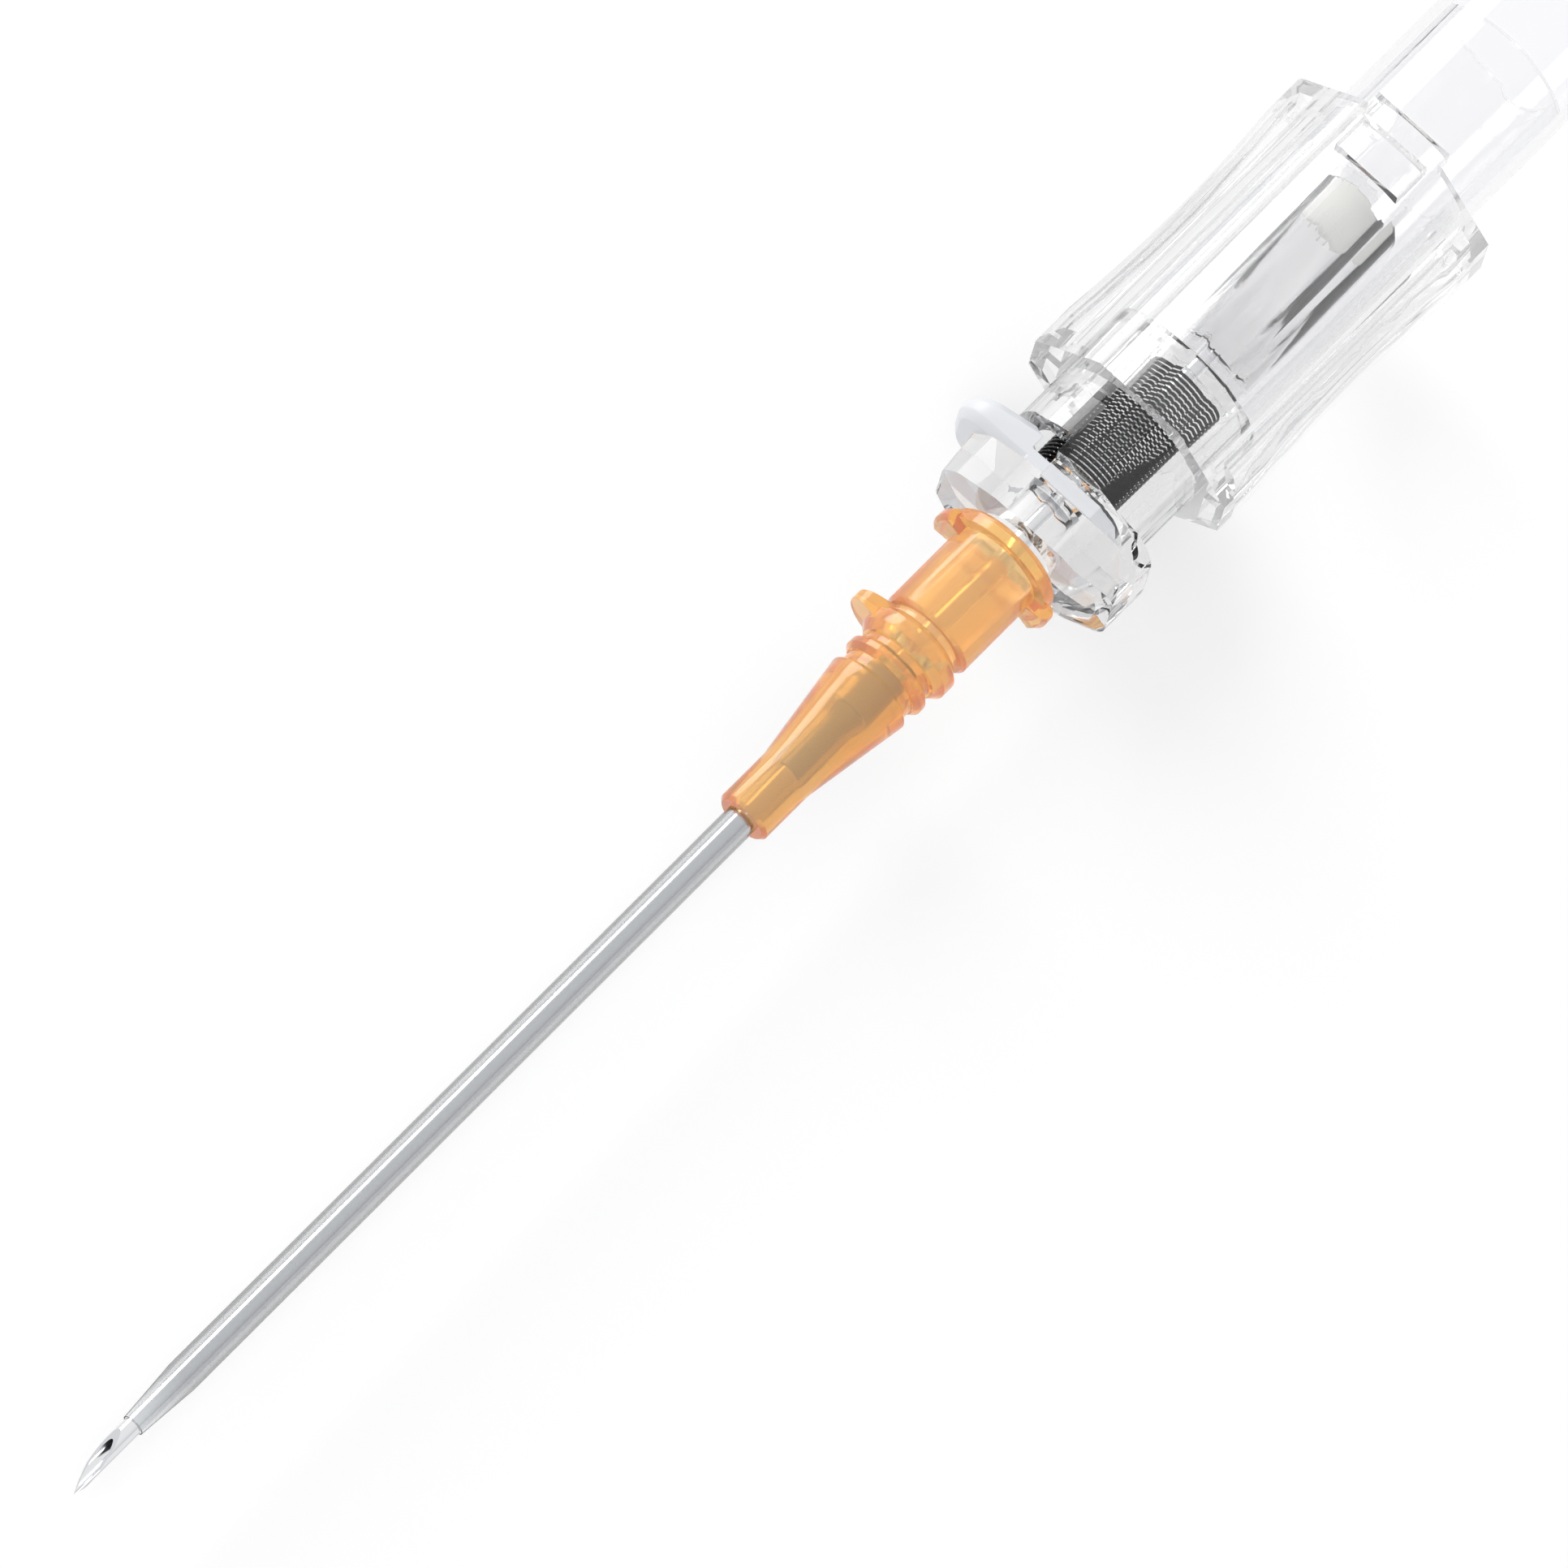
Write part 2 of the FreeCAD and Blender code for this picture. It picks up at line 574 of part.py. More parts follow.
def make_nose_housing():
    """Clear front moulding: the block round the button, the neck and the spigot."""
    hole = f"{NOSE_RADIUS} + nose_hole_gap"
    side = doc.addObject("PartDesign::Body", "block_side")
    pad(side, "block_side_pad", "XY_Plane", [
        ("block_start", "block_crown - block_crown_drop"), (BLOCK_END, "block_crown"),
        (BLOCK_END, "-block_keel + block_rear_chamfer_rise"),
        (f"{BLOCK_END} - block_rear_chamfer", "-block_keel"),
        ("block_start + block_front_chamfer", "-block_keel"),
        ("block_start", "-block_keel + block_front_chamfer_rise"),
    ], "2 * block_half_width", midplane=True)
    front = doc.addObject("PartDesign::Body", "block_front")
    right = [("block_crown", "block_crown_half_width"), ("block_brow", "block_brow_half_width"),
             ("block_cheek_rise", "block_half_width"), ("-block_cheek_fall", "block_half_width"),
             ("-block_keel", "block_keel_half_width")]
    pad(front, "block_front_pad", "YZ_Plane",
        right + [(across, f"-{up}") for across, up in reversed(right)],
        f"{BLOCK_END} - block_start", "block_start")
    shared = paired("Part::Common", "block_form", side, front)
    ends = (worked_out("block_start"), worked_out(BLOCK_END))
    flank = worked_out("block_crown_half_width") / 2
    block = softened("Part::Fillet", "block", shared, "block_rounding", lambda middle: (
        ends[0] + 1 < middle.x < ends[1] - 1 and abs(middle.z) > flank))
    tube = turned("neck_and_spigot", [
        (SLOT_END, hole), (SLOT_END, NECK_RADIUS), (NECK_END, NECK_RADIUS), (NECK_END, SPIGOT_RADIUS),
        (f"{NECK_END} + spigot_length", SPIGOT_RADIUS), (f"{NECK_END} + spigot_length", "housing_bore / 2"),
        (SPRING_SEAT, "housing_bore / 2"), (SPRING_SEAT, hole),
    ])
    solid = fused("housing_solid", [block, tube])
    slot_half = "(thumb_radius + button_gap)"
    slot = box("button_slot", (SLOT_START, "-plate_foot - button_travel - button_gap", f"-{slot_half}"),
               (f"{SLOT_END} - {SLOT_START}", "2 * thumb_height + plate_foot", f"2 * {slot_half}"))
    notch_box = box("notch_box", (SLOT_END, "thumb_skirt - button_travel - notch_gap", f"-{slot_half}"),
                    (f"{PLATE_START} + thumb_thickness + notch_gap - {SLOT_END}", "2 * thumb_height",
                     f"2 * {slot_half}"))
    ledge = rod("ledge", SLOT_START, "2 * thumb_thickness", "spring_diameter / 2 + ledge_gap")
    notch = paired("Part::Cut", "thumb_notch", notch_box, ledge)
    nose_hole = rod("nose_hole", "0", SPRING_SEAT, hole)
    return paired("Part::Cut", "nose_housing", solid, fused("housing_cuts", [slot, notch, nose_hole]))


def make_finger_grip():
    """Clear sleeve with two waisted finger wings, their panels, and a strap behind a window."""
    tall = "2 * grip_half_height"
    span = "(grip_length - grip_front_land - grip_rear_land)"
    waist_radius = f"(({span} ^ 2 / 4 + grip_dip ^ 2) / (2 * grip_dip))"
    waist_place = f"(grip_start + grip_front_land + {span} / 2)"
    section = doc.addObject("PartDesign::Body", "grip_section")
    quarter = [("grip_half_width", "wing_edge"), ("grip_flat_half_width", "grip_half_height")]
    right = quarter + [(f"-{across}", up) for across, up in reversed(quarter)]
    pad(section, "grip_section_pad", "YZ_Plane",
        right + [(f"-({across})", f"-{up}") for across, up in right], "grip_length", "grip_start")

    def waist(name, extra):
        posts = []
        for side, sign in (("upper", ""), ("lower", "-")):
            post = doc.addObject("Part::Cylinder", f"{side}_{name}")
            post.setExpression("Radius", bound(f"{waist_radius} + {extra}"))
            post.setExpression("Height", bound(tall))
            post.setExpression("Placement.Base.x", bound(waist_place))
            post.setExpression("Placement.Base.y",
                               bound(f"{sign}(grip_half_width - grip_dip + {waist_radius})"))
            post.setExpression("Placement.Base.z", bound("-grip_half_height"))
            posts.append(post)
        return fused(name, posts)

    winged = paired("Part::Cut", "winged_sleeve", section, waist("waist", "0"))
    strap = box("strap", (WINDOW_END, "-strap_half_width", "0"),
                ("strap_width", "2 * strap_half_width", "grip_half_height"))
    whole = fused("grip_solid", [winged, strap])
    panel_length = "grip_length - panel_front_rim - panel_rear_rim"
    cores = []
    for face, low in (("upper", "panel_web / 2"), ("lower", "-grip_half_height")):
        panel = box(f"{face}_panels", ("grip_start + panel_front_rim", "-grip_half_width + panel_rim", low),
                    (panel_length, "2 * (grip_half_width - panel_rim)", "grip_half_height - panel_web / 2"))
        cores.append(panel)
    spine = box("panel_spine", ("grip_start", "-panel_inner", "-grip_half_height"),
                ("grip_length", "2 * panel_inner", tall))
    keep = fused("panel_keep", [spine, waist("panel_waist", "panel_rim")])
    panels = paired("Part::Cut", "panel_recesses", fused("panel_blocks", cores), keep)
    bore = rod("grip_bore", "0", STRAP_END, f"{NECK_RADIUS} + seat_gap")
    window = box("snap_window", (f"{WINDOW_END} - window_length", "-window_half_width", "0"),
                 ("window_length", "2 * window_half_width", tall))
    return paired("Part::Cut", "finger_grip", whole, fused("grip_cuts", [panels, bore, window]))


def make_barrel_tube():
    """Clear tube, closed at its rear, with a snap that sits in the grip's window."""
    outer = BARREL_RADIUS
    inner = f"{SPIGOT_RADIUS} + seat_gap"
    start = f"{NECK_END} + seat_gap"
    tube = turned("barrel_form", [
        (start, inner), (start, outer), (BARREL_END, outer), (BARREL_END, "0"),
        (f"{BARREL_END} - barrel_end_wall", "0"), (f"{BARREL_END} - barrel_end_wall", inner),
    ])
    chamfered(tube, "barrel_chamfer_rim", "barrel_chamfer", [(BARREL_END, outer)])
    snap_low = f"({inner} + seat_gap)"
    snap = box("barrel_snap", (f"{WINDOW_END} - window_length + snap_gap", "-window_half_width + snap_gap",
                               snap_low),
               ("window_length - 2 * snap_gap", "2 * (window_half_width - snap_gap)",
                f"{outer} + snap_rise - {snap_low}"))
    return fused("barrel_tube", [tube, snap])


def main():
    """Build every piece, check it and write it."""
    pieces = [
        make_catheter_tube(), make_catheter_wedge(), make_catheter_hub(), make_needle(),
        make_needle_hub(), make_vent_plug(), make_retraction_spring(), make_release_button(),
        make_nose_housing(), make_finger_grip(), make_barrel_tube(),
    ]
    doc.recompute()
    for thing in doc.Objects:
        if "Invalid" in thing.State or "Error" in thing.State:
            raise RuntimeError(f"{thing.Name} failed: {thing.State}")
    os.makedirs("parts", exist_ok=True)
    for piece in pieces:
        piece.Label = piece.Name
        shape = piece.Shape
        if shape.isNull() or not shape.isValid() or len(shape.Solids) != 1:
            raise RuntimeError(f"{piece.Label} is not one valid solid")
        shape.exportStep(f"parts/{piece.Label}.step")
        print(f"{piece.Label}: {shape.Volume:.2f} mm3")


main()
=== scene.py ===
"""Looks of a push-button safety IV cannula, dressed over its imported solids."""
import logging
import math
from abc import ABC, abstractmethod
from dataclasses import dataclass
from enum import Enum
from typing import Optional, Union

import bmesh
import bpy
from mathutils import Matrix, Vector


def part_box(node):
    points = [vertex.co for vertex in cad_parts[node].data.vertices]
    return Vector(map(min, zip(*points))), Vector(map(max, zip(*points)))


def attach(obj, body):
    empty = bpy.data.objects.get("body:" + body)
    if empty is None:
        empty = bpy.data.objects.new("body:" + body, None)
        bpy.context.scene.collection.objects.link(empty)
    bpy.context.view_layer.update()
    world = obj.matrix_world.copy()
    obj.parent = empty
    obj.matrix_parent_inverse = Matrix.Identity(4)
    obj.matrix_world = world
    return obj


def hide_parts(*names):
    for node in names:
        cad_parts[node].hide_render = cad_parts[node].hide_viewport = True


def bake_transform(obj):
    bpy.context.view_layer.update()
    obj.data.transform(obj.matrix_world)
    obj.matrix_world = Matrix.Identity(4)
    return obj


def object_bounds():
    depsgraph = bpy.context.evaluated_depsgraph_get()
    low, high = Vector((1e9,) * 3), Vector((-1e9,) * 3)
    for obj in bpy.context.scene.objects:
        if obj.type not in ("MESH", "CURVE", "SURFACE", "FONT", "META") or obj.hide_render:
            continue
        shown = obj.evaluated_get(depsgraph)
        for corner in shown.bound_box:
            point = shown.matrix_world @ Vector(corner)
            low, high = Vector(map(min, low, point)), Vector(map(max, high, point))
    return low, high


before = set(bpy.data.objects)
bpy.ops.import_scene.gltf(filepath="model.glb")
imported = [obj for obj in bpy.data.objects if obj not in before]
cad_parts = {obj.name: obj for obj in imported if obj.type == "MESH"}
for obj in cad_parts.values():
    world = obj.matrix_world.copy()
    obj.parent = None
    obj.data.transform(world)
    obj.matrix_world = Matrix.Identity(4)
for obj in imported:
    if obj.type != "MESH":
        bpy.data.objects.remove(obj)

MM = 0.001
CAD_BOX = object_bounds()
AXIS = Vector((1.0, 0.0, 0.0))
WELD = 0.0005 * MM
LOG = logging.getLogger("cannula")

Colour = tuple[float, float, float, float]
InputKey = Union[str, int]

WHITE: Colour = (1.0, 1.0, 1.0, 1.0)
# Every finish has the same kind of grain: two octaves, the second at half the strength.
GRAIN_NOISE = {"Scale": 1.0, "Detail": 2.0, "Roughness": 0.5}
# Faces that meet at less than this are one flat face, in a solid and in a turned profile.
FLAT_DEGREES = 0.5
FLAT_PROFILE_DEGREES = 0.2
# The mould's rounding: the edges that take it, its steps and its circular section.
ROUNDED_DEGREES = 30.0
ROUNDING_STEPS = 2
ROUND_PROFILE = 0.5


class Body(Enum):
    """The groups of pieces that move together."""

    HOUSING = "housing"
    BUTTON = "button"
    CARRIAGE = "carriage"
    CATHETER = "catheter"


def linear(code: str) -> Colour:
    """Turn an sRGB hex colour into the linear colour that a shader takes.

    Args:
        code: The colour as "#RRGGBB".

    Returns:
        Red, green, blue and a full alpha.
    """
    parts = [int(code[place:place + 2], 16) / 255 for place in (1, 3, 5)]
    # The numbers are the sRGB standard's own.
    red, green, blue = (part / 12.92 if part <= 0.04045 else ((part + 0.055) / 1.055) ** 2.4
                        for part in parts)
    return red, green, blue, 1.0


def add_node(tree: bpy.types.NodeTree, kind: str,
             links: Optional[dict[InputKey, bpy.types.NodeSocket]] = None,
             inputs: Optional[dict[InputKey, object]] = None,
             **settings: object) -> bpy.types.Node:
    """Add a shader node with its settings, values and links.

    Args:
        tree: The node tree that takes the node.
        kind: The node's type, such as "ShaderNodeTexNoise".
        links: Sockets of other nodes, by the name or number of the input that they feed.
        inputs: Plain values, by the name or number of the input that holds them.
        **settings: The node's own properties.

    Returns:
        The new node.
    """
    node = tree.nodes.new(kind)
    for name, value in settings.items():
        setattr(node, name, value)
    for key, value in (inputs or {}).items():
        node.inputs[key].default_value = value
    for key, socket in (links or {}).items():
        tree.links.new(socket, node.inputs[key])
    return node


def new_material(name: str) -> tuple[bpy.types.Material, bpy.types.NodeTree, bpy.types.Node]:
    """Start a material with an empty tree and its output.

    Args:
        name: The finish's common name.

    Returns:
        The material, its node tree and its output node.
    """
    material = bpy.data.materials.new(name)
    material.use_nodes = True
    tree = material.node_tree
    tree.nodes.clear()
    return material, tree, add_node(tree, "ShaderNodeOutputMaterial")


@dataclass(frozen=True)
class Finish:
    """A surface finish: how the real one is made, and how its shader starts.

    Attributes:
        name: The finish's common name.
        colour: Its colour as sRGB hex.
        roughness: Its gloss, from 0 for a mirror to 1 for chalk.
        grain_mm: The size of its surface pattern.
        depth_mm: The height of that pattern.
        inner_colour: The colour that a thick wall takes, as sRGB hex, or None for no such colour.
        inner_density: How fast light takes that colour on, in shares for each metre.
    """

    name: str
    colour: str
    roughness: float
    grain_mm: float
    depth_mm: float
    inner_colour: Optional[str] = None
    inner_density: float = 0.0

    def values(self) -> dict[InputKey, object]:
        """Give the shader's plain values."""
        return {"Base Color": linear(self.colour), "Roughness": self.roughness}

    def grain_scale(self) -> tuple[float, float, float]:
        """Give the pattern's scale along X, Y and Z, in cycles for each metre."""
        cycles = 1 / (self.grain_mm * MM)
        return cycles, cycles, cycles

    def material(self) -> bpy.types.Material:
        """Build the finish as a node material.

        Returns:
            The material.
        """
        material, tree, output = new_material(self.name)
        place = add_node(tree, "ShaderNodeTexCoord")
        mapping = add_node(tree, "ShaderNodeMapping", {"Vector": place.outputs["Object"]},
                           {"Scale": self.grain_scale()})
        noise = add_node(tree, "ShaderNodeTexNoise", {"Vector": mapping.outputs["Vector"]},
                         GRAIN_NOISE)
        bump = add_node(tree, "ShaderNodeBump", {"Height": noise.outputs["Fac"]},
                        {"Strength": 1.0, "Distance": self.depth_mm * MM})
        shader = add_node(tree, "ShaderNodeBsdfPrincipled", {"Normal": bump.outputs["Normal"]},
                          self.values())
        tree.links.new(shader.outputs["BSDF"], output.inputs["Surface"])
        if self.inner_colour:
            depth = add_node(tree, "ShaderNodeVolumeAbsorption", None,
                             {"Color": linear(self.inner_colour), "Density": self.inner_density})
            tree.links.new(depth.outputs["Volume"], output.inputs["Volume"])
        return material


@dataclass(frozen=True)
class ClearMoulding(Finish):
    """Clear moulded plastic: glass-like, with faint waves where the melt cooled unevenly.

    Attributes:
        ior: Its index, set below the real plastic's to keep dark bands out of thick walls.
    """

    ior: float = 1.38

    def values(self) -> dict[InputKey, object]:
        """Give the shader's plain values."""
        return {**super().values(), "IOR": self.ior, "Transmission Weight": 1.0}


@dataclass(frozen=True)
class TintedMoulding(Finish):
    """Translucent coloured plastic: light passes through, blurred, and some scatters inside.

    Attributes:
        ior: The plastic's own index.
        clear_share: The share of light that passes through.
    """

    ior: float = 1.49
    clear_share: float = 0.75

    def values(self) -> dict[InputKey, object]:
        """Give the shader's plain values."""
        return {**super().values(), "IOR": self.ior, "Transmission Weight": self.clear_share}


@dataclass(frozen=True)
class DrawnSteel(Finish):
    """Drawn stainless steel: polished, with fine die lines along its length.

    Attributes:
        stretch: How many times longer than wide the die lines are.
    """

    stretch: float = 40.0

    def values(self) -> dict[InputKey, object]:
        """Give the shader's plain values."""
        return {**super().values(), "Metallic": 1.0}

    def grain_scale(self) -> tuple[float, float, float]:
        """Give the pattern's scale, drawn out along the needle."""
        along, across, up = super().grain_scale()
        return along / self.stretch, across, up


# Polycarbonate, injection moulded in a polished steel mould: mirror gloss, slow waves in its faces.
CLEAR_HOUSING = ClearMoulding("Clear polycarbonate moulding", "#FFFFFF", roughness=0.02,
                              grain_mm=2.2, depth_mm=0.006,
                              inner_colour="#1E2630", inner_density=30.0)
# The same plastic in a second mould: a shade softer where fingers hold it.
CLEAR_GRIP = ClearMoulding("Clear polycarbonate grip", "#FFFFFF", roughness=0.03,
                           grain_mm=2.6, depth_mm=0.008,
                           inner_colour="#26262C", inner_density=30.0)
# Extruded clear tube: the longest and shallowest waves of the clear pieces.
CLEAR_BARREL = ClearMoulding("Clear extruded barrel", "#FEFEFF", roughness=0.02,
                             grain_mm=4.0, depth_mm=0.004,
                             inner_colour="#26262A", inner_density=40.0)
# Clarified polypropylene in a thin wall: softer to the eye, with little bending of light.
CLEAR_CARRIAGE = ClearMoulding("Clear polypropylene carriage", "#FFFFFF", roughness=0.03,
                               grain_mm=1.6, depth_mm=0.002, ior=1.18)
# Drawn fluoropolymer: soft, with a low index, and smoky where the eye looks along its wall.
CLEAR_TUBE = ClearMoulding("Clear fluoropolymer tube", "#FAFBFC", roughness=0.05,
                           grain_mm=1.2, depth_mm=0.001,
                           inner_colour="#202022", inner_density=620.0, ior=1.34)
# Dyed polypropylene: pale where the wall is thin, deep orange at its edges and over the funnel.
ORANGE_HUB = TintedMoulding("Orange translucent polypropylene", "#FFDFB2", roughness=0.13,
                            grain_mm=1.5, depth_mm=0.003,
                            inner_colour="#FFE81C", inner_density=1000.0)
# Drawn and polished stainless tube: a mirror with die lines, coarser here than real ones.
NEEDLE_STEEL = DrawnSteel("Drawn stainless needle", "#E4E5E7", roughness=0.16,
                          grain_mm=0.05, depth_mm=0.0004)
# Drawn sheet, duller than the needle.
WEDGE_STEEL = DrawnSteel("Drawn steel funnel", "#7E7F82", roughness=0.3,
                         grain_mm=0.08, depth_mm=0.0006)
# Spring wire with a painted dark reflection: its near-black colour stands in for the dark room that
# polished steel mirrors, with one thin bright line on each turn.
SPRING_STEEL = DrawnSteel("Spring wire with painted dark reflection", "#0C0C0D", roughness=0.25,
                          grain_mm=0.05, depth_mm=0.0004)
# Acetal from a finely blasted mould: satin, with a faint tooth.
WHITE_BUTTON = Finish("White satin acetal", "#ECEEF2", roughness=0.38,
                      grain_mm=0.12, depth_mm=0.0012)
# Sintered beads: chalky, with open pores.
POROUS_PLUG = Finish("Porous white polyethylene", "#EFEFEA", roughness=0.8,
                     grain_mm=0.18, depth_mm=0.02)


def new_object(name: str, data: Optional[bpy.types.ID]) -> bpy.types.Object:
    """Put an object in the scene.

    Args:
        name: The object's name.
        data: Its mesh, camera or light.

    Returns:
        The object.
    """
    item = bpy.data.objects.new(name, data)
    bpy.context.scene.collection.objects.link(item)
    return item


def mesh_data(mesh: bmesh.types.BMesh, name: str) -> bpy.types.Mesh:
    """Turn a mesh that is being worked on into an object's data.

    Args:
        mesh: The mesh, which is freed.
        name: The data's name.

    Returns:
        The data.
    """
    data = bpy.data.meshes.new(name)
    mesh.to_mesh(data)
    mesh.free()
    return data


def weld(mesh: bmesh.types.BMesh) -> None:
    """Join vertices that lie on each other."""
    bmesh.ops.remove_doubles(mesh, verts=mesh.verts, dist=WELD)


def flatten(mesh: bmesh.types.BMesh, degrees: float) -> None:
    """Dissolve edges and corners that bend by less than an angle."""
    bmesh.ops.dissolve_limit(mesh, angle_limit=math.radians(degrees), verts=mesh.verts,
                             edges=mesh.edges)


def welded_copy(node: str) -> bmesh.types.BMesh:
    """Copy a solid's mesh and weld its loose triangles.

    Args:
        node: The solid's node.

    Returns:
        The welded mesh.
    """
    mesh = bmesh.new()
    mesh.from_mesh(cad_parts[node].data)
    weld(mesh)
    return mesh


def solid_copy(node: str) -> bmesh.types.BMesh:
    """Copy a solid's mesh with whole flat faces.

    Args:
        node: The solid's node.

    Returns:
        The mesh.
    """
    mesh = welded_copy(node)
    flatten(mesh, FLAT_DEGREES)
    return mesh


def cut_through_axis(mesh: bmesh.types.BMesh, normal: Vector,
                     drop_both: bool) -> list[bmesh.types.BMVert]:
    """Cut a mesh with a plane through the origin and drop what lies in front of it.

    Args:
        mesh: The mesh.
        normal: The plane's normal.
        drop_both: Whether the faces behind the plane go too, which leaves the outline of the cut.

    Returns:
        The vertices on the cut.
    """
    cut = bmesh.ops.bisect_plane(mesh, geom=mesh.verts[:] + mesh.edges[:] + mesh.faces[:],
                                 dist=WELD / 10, plane_co=(0, 0, 0), plane_no=normal,
                                 clear_outer=True, clear_inner=drop_both)
    return [item for item in cut["geom_cut"] if isinstance(item, bmesh.types.BMVert)]


def turned_copy(node: str, steps: int = 96) -> bmesh.types.BMesh:
    """Turn a solid's own profile round the needle axis in fine steps.

    Args:
        node: The solid's node, a body of revolution where the XZ plane cuts it.
        steps: The number of steps in the full turn.

    Returns:
        The turned mesh, closed, with its faces outwards.
    """
    mesh = welded_copy(node)
    kept = set(cut_through_axis(mesh, Vector((0, 1, 0)), drop_both=True))
    bmesh.ops.delete(mesh, geom=[vert for vert in mesh.verts if vert not in kept],
                     context="VERTS")
    cut_through_axis(mesh, Vector((0, 0, -1)), drop_both=False)
    weld(mesh)
    flatten(mesh, FLAT_PROFILE_DEGREES)
    bmesh.ops.spin(mesh, geom=mesh.verts[:] + mesh.edges[:], cent=(0, 0, 0), axis=AXIS,
                   dvec=(0, 0, 0), angle=math.tau, steps=steps, use_merge=True)
    weld(mesh)
    bmesh.ops.recalc_face_normals(mesh, faces=mesh.faces)
    return mesh


def placed(mesh: bmesh.types.BMesh, name: str, finish: Finish, body: Optional[Body],
           stands_for: str, sharp_degrees: float = 35.0,
           rounding_mm: float = 0.0) -> bpy.types.Object:
    """Make a finished piece of a mesh, in place of its solid.

    Args:
        mesh: The piece's mesh, which is freed.
        name: The piece's name.
        finish: Its finish.
        body: The body that it rides on, or None to leave it attached to none.
        stands_for: The solid's node.
        sharp_degrees: The angle past which an edge stays sharp.
        rounding_mm: The width of the mould's rounding along sharp edges, or 0 for none.

    Returns:
        The piece.
    """
    data = mesh_data(mesh, name)
    data.shade_smooth()
    data.set_sharp_from_angle(angle=math.radians(sharp_degrees))
    piece = new_object(name, data)
    data.materials.append(finish.material())
    if rounding_mm:
        bevel = piece.modifiers.new("mould_rounding", "BEVEL")
        bevel.width, bevel.segments = rounding_mm * MM, ROUNDING_STEPS
        bevel.profile = ROUND_PROFILE
        bevel.limit_method, bevel.angle_limit = "ANGLE", math.radians(ROUNDED_DEGREES)
        bevel.harden_normals = True
    if body is not None:
        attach(piece, body.value)
    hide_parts(stands_for)
    LOG.info("%s: %d faces", name, len(data.polygons))
    return piece


def let_light_through(piece: bpy.types.Object) -> None:
    """Let a clear piece throw no shadow and dim no soft light, as clear plastic passes it on."""
    piece.visible_shadow = False
    piece.visible_diffuse = False


def seen_rays(tree: bpy.types.NodeTree) -> bpy.types.NodeSocket:
    """Tell rays that show a surface to the eye from rays that only carry light.

    Args:
        tree: The node tree that takes the nodes.

    Returns:
        A socket that is 1 on camera, glossy and transmission rays.
    """
    path = add_node(tree, "ShaderNodeLightPath")
    direct = add_node(tree, "ShaderNodeMath",
                      {0: path.outputs["Is Camera Ray"], 1: path.outputs["Is Glossy Ray"]},
                      operation="MAXIMUM")
    every = add_node(tree, "ShaderNodeMath",
                     {0: direct.outputs[0], 1: path.outputs["Is Transmission Ray"]},
                     operation="MAXIMUM")
    return every.outputs[0]


class Assembly(ABC):
    """A group of things in the scene that builds itself."""

    @abstractmethod
    def build(self) -> None:
        """Make everything in the group."""


@dataclass
class Catheter(Assembly):
    """The catheter: its tube, the metal funnel that pins it, and the orange hub.

    Attributes:
        rounding_mm: The mould's rounding along the hub's edges.
    """

    rounding_mm: float = 0.12

    def build(self) -> None:
        """Make the three pieces."""
        tube = placed(turned_copy("catheter_tube"), "catheter_tube_clear", CLEAR_TUBE,
                      Body.CATHETER, "catheter_tube")
        placed(turned_copy("catheter_wedge"), "catheter_funnel", WEDGE_STEEL, Body.CATHETER,
               "catheter_wedge")
        hub = placed(solid_copy("catheter_hub"), "catheter_hub_orange", ORANGE_HUB, Body.CATHETER,
                     "catheter_hub", rounding_mm=self.rounding_mm)
        for piece in (tube, hub):
            let_light_through(piece)


@dataclass
class Carriage(Assembly):
    """The carriage that the spring throws back: needle, clear hub and flash plug."""

    def build(self) -> None:
        """Make the three pieces."""
        placed(solid_copy("needle"), "needle_polished", NEEDLE_STEEL, Body.CARRIAGE, "needle")
        hub = placed(turned_copy("needle_hub"), "needle_carriage", CLEAR_CARRIAGE, Body.CARRIAGE,
                     "needle_hub")
        placed(turned_copy("vent_plug"), "flash_plug", POROUS_PLUG, Body.CARRIAGE, "vent_plug")
        let_light_through(hub)


@dataclass
class Spring(Assembly):
    """The retraction spring: fine dark wire in many close turns.

    Attributes:
        turns: The number of turns.
        wire_mm: The wire's diameter.
        steps: The steps in each turn.
        sides: The sides of the wire's section.
        sharp_degrees: The angle past which an edge of the wire stays sharp.
    """

    turns: int = 28
    wire_mm: float = 0.2
    steps: int = 24
    sides: int = 8
    sharp_degrees: float = 60.0

    def build(self) -> None:
        """Wind the wire along the length of the spring's solid."""
        low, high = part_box("retraction_spring")
        wire = self.wire_mm * MM
        mesh = bmesh.new()
        section = bmesh.ops.create_circle(mesh, cap_ends=False, segments=self.sides,
                                          radius=wire / 2)["verts"]
        bmesh.ops.translate(mesh, verts=section, vec=(low.x + wire / 2, high.y - wire / 2, 0))
        count = self.turns * self.steps
        bmesh.ops.spin(mesh, geom=mesh.edges[:], cent=(0, 0, 0), axis=AXIS,
                       dvec=AXIS * ((high.x - low.x - wire) / count),
                       angle=math.tau * self.turns, steps=count, use_merge=False)
        bmesh.ops.holes_fill(mesh, edges=[edge for edge in mesh.edges if edge.is_boundary],
                             sides=self.sides)
        bmesh.ops.recalc_face_normals(mesh, faces=mesh.faces)
        piece = placed(mesh, "spring_wound", SPRING_STEEL, None, "retraction_spring",
                       self.sharp_degrees)
        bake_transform(piece)


